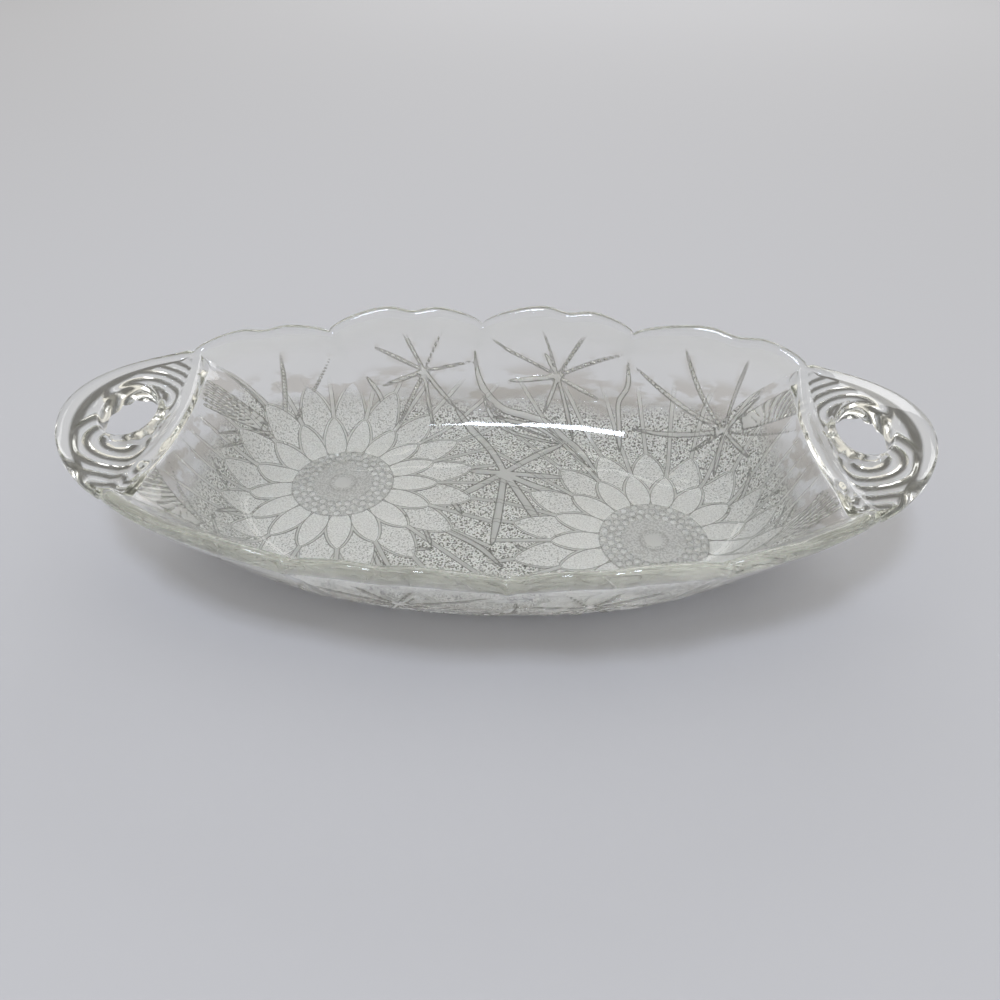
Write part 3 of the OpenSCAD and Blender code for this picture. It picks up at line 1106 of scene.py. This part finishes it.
def glassMaterial():
    material = bpy.data.materials.new("clear_glass")
    material.use_nodes = True
    tree = material.node_tree
    shader = tree.nodes["Principled BSDF"]
    out = tree.nodes["Material Output"]
    shader.inputs["Transmission Weight"].default_value = 1
    shader.inputs["IOR"].default_value = finish["ior"]
    bench = Wire(tree)

    def named(name, out="Fac"):
        return bench.make("ShaderNodeAttribute", {"attribute_name": name}, {}, out)

    x = bench.make("ShaderNodeSeparateXYZ", {}, {0: named("plan", "Vector")})
    art = flowerArt(x, x.other("Y"), pattern)
    left = named("left")
    away = named("away")
    half = named("half")
    # where the handles' painted shade falls: the rib valleys and a band by the edge
    handleShade = named("handleShade")
    place = bench.make("ShaderNodeTexCoord", {}, {}, "Object")

    # a noise of its own at each shift; a squeeze under 1 draws it out along that axis
    def noise(size, detail, shift=0, squeeze=(1, 1, 1)):
        moved = bench.make("ShaderNodeVectorMath", {"operation": "MULTIPLY_ADD"},
                           {0: place, 1: squeeze, 2: (shift, shift, 0)})
        return bench.make("ShaderNodeTexNoise", {},
                          {"Vector": moved, "Scale": 1 / (size * mm), "Detail": detail})

    def tinted(low, high, share):
        return bench.make("ShaderNodeMix", {"data_type": "RGBA"},
                          {"Factor": share, 6: low, 7: high}, 2)

    # the parts of the pattern, each 0 to 1
    pressing = left.smooth(*bands["pressing"])
    plainPart = (1 - art["middle"]) * (1 - art["petals"])
    cutShare = left.smooth(*bands["lines"]) * plainPart
    cut = (half - away).smooth(0.0, finish["cutFade"]) * cutShare
    cutEdge = (1 - (away - half).size() / finish["edgeWidth"]).clamped() * cutShare
    outline = art["lines"].smooth(*finish["outlineSpan"]) * pressing
    outlineEdge = (art["lines"] - finish["outlineEdge"]).size() / finish["outlineEdge"]
    outlineEdge = (1 - outlineEdge).clamped() * pressing * finish["outlineEdgeShare"]
    satin = art["petals"] * (1 - outline) * pressing
    ground = plainPart.blend(finish["middleGround"], art["middle"])
    ground = ground * (1 - outline) * (1 - cut) * left.smooth(*bands["ground"])
    middle = art["middle"] * pressing
    beads = art["beads"] * middle
    beadEdge = (art["beads"] - finish["beadEdge"]).size() / finish["beadEdgeWidth"]
    beadEdge = (1 - beadEdge).clamped() * middle
    moat = art["moat"] * middle

    # the bump
    coarse = noise(finish["grain"], 1.0)
    fine = noise(finish["fineGrain"], 0.0)
    height = coarse * ground * finish["grainHeight"] + fine * satin * finish["fineHeight"]
    height = height + noise(finish["wave"], 1.0, 0.4) * finish["waveHeight"]
    height = height - outline * finish["outlineHeight"] - cut * finish["cutHeight"]
    height = height + beads * finish["beadHeight"]
    bump = bench.make("ShaderNodeBump", {}, {"Height": height, "Distance": mm, "Strength": 1.0})
    rough = satin * finish["satinRough"] + ground * finish["groundRough"] + finish["plainRough"]

    # the tint of the clear share: the glass's own tint, then painted shade in the cut lines and
    # outlines, a painted shadow beside the cuts, painted brown reflections of the room and shadow,
    # and darker painted shade along line edges, on dark specks of the stipple, round the beads and
    # in the rib valleys
    speckled = art["onInner"] * finish["innerGrain"] + art["onOuter"] * finish["outerGrain"]
    # painted shade on dark specks of the stipple
    shadedSpecks = coarse.smooth(*finish["darkNoise"]) * (ground + satin * speckled)
    shade = noise(finish["shade"], 1.0, 0.7).smooth(*finish["shadeNoise"])
    beside = (half + finish["shadeWidth"] - away).smooth(*finish["shadeFade"])
    shade = shade * beside * cutShare
    # painted brown patches along the wall, standing for the reflected dim room and the refracted
    # shadow
    reflectedShade = noise(finish["patch"], 3.0, 0.9, finish["patchSqueeze"])
    reflectedShade = reflectedShade.smooth(*finish["patchNoise"])
    reflectedShade = reflectedShade * left.smooth(*bands["reflectedShade"]) * (1 - left.smooth(*bands["reflectedShadeEnd"]))
    colour = finish["tint"]
    for share, tint in (
        (cut.most(outline), "cutShadeTint"),
        (shade, "shadeTint"),
        (reflectedShade * (1 - art["petals"]), "reflectedShadeTint"),
        (cutEdge.most(outlineEdge), "edgeShadeTint"),
        (shadedSpecks, "grainShadeTint"),
        (beadEdge.most(moat), "beadShadeTint"),
        (handleShade.smooth(*finish["valleyShadeTintSpan"]), "valleyShadeTint"),
    ):
        colour = tinted(colour, finish[tint], share)
    tree.links.new(colour.socket, shader.inputs["Base Color"])
    tree.links.new(rough.socket, shader.inputs["Roughness"])
    tree.links.new(bump.socket, shader.inputs["Normal"])

    # the frosted share
    white = coarse.smooth(*finish["lightNoise"]) * ground * finish["grainFrost"]
    white = white.most(ground * finish["groundFrost"])
    speckle = coarse.smooth(*finish["middleNoise"]) * finish["middleSpeckle"]
    white = white.most(middle * (finish["middleFrost"] + speckle))
    wallSatin = finish["wallSatin"]
    satinFrost = satin * finish["satinFrost"]
    satinFrost = satinFrost * (left.smooth(*bands["satin"]) * (1 - wallSatin) + wallSatin)
    speckle = finish["satinSpeckle"]
    speckled = 1 - speckle + fine.smooth(*finish["satinNoise"]) * speckle
    white = white.most(satinFrost * speckled)
    beadTops = beads.smooth(*finish["beadSpan"])
    white = white.most(beadTops * finish["beadFrost"])
    white = white.most(cut.most(outline) * finish["lineFrost"])
    white = white.most(art["boss"].smooth(*finish["bossSpan"]) * middle * finish["beadFrost"])
    clear = cutEdge.most(outlineEdge).most(shadedSpecks).most(beadEdge) * finish["edgeClear"]
    white = white * (1 - clear)
    belowRim = left.smooth(*bands["rim"]) * (1 - left.smooth(*bands["rimEnd"]))
    white = white.most(belowRim * finish["rimFrost"])
    frost = bench.make("ShaderNodeBsdfDiffuse", {}, {"Color": finish["frost"], "Normal": bump})
    facets = bench.make("ShaderNodeBsdfGlossy", {}, {
        "Color": finish["frost"],
        "Roughness": finish["sparkleRough"],
        "Normal": bump,
    })
    shiny = ground * (1 - art["middle"]) * finish["sparkle"]
    shiny = shiny.most(beadTops * finish["beadShine"])
    frost = bench.make("ShaderNodeMixShader", {}, {0: shiny, 1: frost, 2: facets})
    surface = Wire(tree, shader.outputs[0])
    surface = bench.make("ShaderNodeMixShader", {}, {0: white, 1: surface, 2: frost})

    # painted shade: a dark share standing for the light that steep facets, rib valleys and dark
    # specks lose
    facetShadeShare = cutEdge.most(outlineEdge).most(beadEdge * finish["beadEdgeShade"]).most(moat)
    facetShadeShare = facetShadeShare * finish["edgeShade"]
    facetShadeShare = facetShadeShare.most(handleShade.smooth(*finish["valleyShadeSpan"]) * finish["valleyShade"])
    facetShadeShare = facetShadeShare.most(shadedSpecks * finish["grainShade"])
    facetShade = bench.make("ShaderNodeBsdfDiffuse", {}, {"Color": finish["facetShade"]})
    surface = bench.make("ShaderNodeMixShader", {}, {0: facetShadeShare, 1: surface, 2: facetShade})
    tree.links.new(surface.socket, out.inputs["Surface"])

    deep = bench.make("ShaderNodeVolumeAbsorption", {},
                      {"Color": finish["deepTint"], "Density": finish["deepTintPerMetre"]})
    tree.links.new(deep.socket, out.inputs["Volume"])
    return material


print("glass material")
clear = glassMaterial()
print("pressing the pattern")
pressed(glass, clear)

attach(glass, "root")
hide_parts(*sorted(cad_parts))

print("floor and light")
floorLook = {
    "reach": 4.0,
    "below": 0.2 * mm,
    "colour": (0.463, 0.472, 0.512, 1),
    "rough": 0.9,
}
floorMesh = bpy.data.meshes.new("floor")
corners = np.array([(-1, -1, 0), (1, -1, 0), (1, 1, 0), (-1, 1, 0)]) * floorLook["reach"]
floorMesh.from_pydata(corners.tolist(), [], [(0, 1, 2, 3)])
floor = bpy.data.objects.new("floor", floorMesh)
floor.location.z = -floorLook["below"]
bpy.context.scene.collection.objects.link(floor)
paint = bpy.data.materials.new("canvas")
paint.use_nodes = True
canvas = paint.node_tree.nodes["Principled BSDF"]
canvas.inputs["Base Color"].default_value = floorLook["colour"]
canvas.inputs["Roughness"].default_value = floorLook["rough"]
floorMesh.materials.append(paint)

# The room's light: bright above, and dimmer toward the horizon
room = {
    "strength": 0.93,
    "steps": [
        (0.0, (0.48, 0.465, 0.435, 1)),
        (0.16, (0.52, 0.505, 0.475, 1)),
        (0.34, (0.74, 0.71, 0.65, 1)),
        (0.7, (1, 0.965, 0.88, 1)),
    ],
}
world = bpy.data.worlds.new("room")
bpy.context.scene.world = world
world.use_nodes = True
sky = Wire(world.node_tree)
way = sky.make("ShaderNodeTexCoord", {}, {}, "Generated")
upward = sky.make("ShaderNodeSeparateXYZ", {}, {0: way}, "Z")
ramp = sky.make("ShaderNodeValToRGB", {}, {"Fac": upward})
stops = ramp.socket.node.color_ramp.elements
for step, (place, colour) in enumerate(room["steps"]):
    stop = stops[step] if step < 2 else stops.new(place)
    stop.position = place
    stop.color = colour
background = world.node_tree.nodes["Background"]
background.inputs["Strength"].default_value = room["strength"]
world.node_tree.links.new(ramp.socket, background.inputs["Color"])

# Places and sizes in metres, powers in watts
lamps = {
    "key": {
        "place": (-0.104, -0.318, 1.02),
        "target": (0, 0, 0),
        "size": (0.2, 0.2),
        "power": 3.3,
        "colour": (0.88, 0.95, 1.1),
    },
    "window": {
        "place": (0.2, 1.5, 0.8),
        "target": (0, 0, 0.05),
        "size": (1.4, 0.5),
        "power": 6,
        "colour": (1, 1, 1),
    },
}


def addLamp(name, place, target, size, power, colour):
    light = bpy.data.lights.new(name, "AREA")
    light.shape = "RECTANGLE"
    light.size, light.size_y = size
    light.energy = power
    light.color = colour
    holder = bpy.data.objects.new(name, light)
    holder.location = place
    holder.rotation_euler = (Vector(target) - Vector(place)).to_track_quat("-Z", "Y").to_euler()
    bpy.context.scene.collection.objects.link(holder)


for name, lamp in lamps.items():
    addLamp(name, **lamp)

# light has to get through many layers of glass
bounces = {"max": 32, "transmission": 32, "glossy": 24, "diffuse": 12}
for kind, count in bounces.items():
    setattr(bpy.context.scene.cycles, kind + "_bounces", count)
bpy.context.scene.cycles.sample_clamp_indirect = 0

print("camera")
view = {
    "place": (11.58 * mm, -216.5 * mm, 194.6 * mm),
    "pitch": math.radians(40.79),
    "yaw": math.radians(2.275),
    "roll": math.radians(0.14),
    "lens": 28.08,
    "sensor": 36,
}
camera = bpy.data.objects.new("camera", bpy.data.cameras.new("camera"))
camera.data.lens = view["lens"]
camera.data.sensor_width = view["sensor"]
turn = Matrix.Rotation(view["yaw"], 4, "Z") @ Matrix.Rotation(math.pi / 2 - view["pitch"], 4, "X")
turn = turn @ Matrix.Rotation(view["roll"], 4, "Z")
camera.matrix_world = Matrix.Translation(view["place"]) @ turn
bpy.context.scene.collection.objects.link(camera)
bpy.context.scene.camera = camera
bpy.context.scene.view_settings.view_transform = "Standard"
